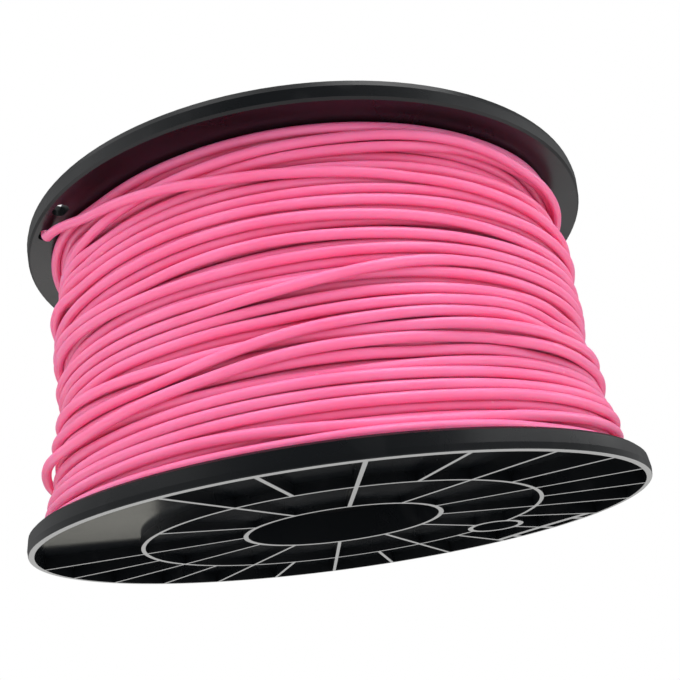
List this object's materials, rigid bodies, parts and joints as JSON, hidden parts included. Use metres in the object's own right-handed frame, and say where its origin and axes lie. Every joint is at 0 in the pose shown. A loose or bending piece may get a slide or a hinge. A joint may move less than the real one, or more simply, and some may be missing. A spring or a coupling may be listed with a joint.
{
  "type": "filament spool",
  "caption": "Full spool of pink 3 mm 3-D printing filament, wound between black ribbed plastic flanges.",
  "frame": {"origin": "centre of the lower flange's rim plane, on the spool's axis, where the spool stands", "axes": "+Z along the spool's axis towards the upper flange; +X towards the two end slots of the lower flange"},
  "size_m": [0.2, 0.2, 0.106],
  "materials": {
    "flange_plastic": "injection moulded, satin rim and glossy webs",
    "core_plastic": "injection moulded",
    "filament": "extruded, soft gloss"
  },
  "bodies": {
    "root": {"flange_lower": "flange_plastic", "flange_upper": "flange_plastic", "winding_core": "core_plastic", "filament_winding": "filament", "filament_free_end": "filament", "filament_start_end": "filament"}
  },
  "joints": []
}
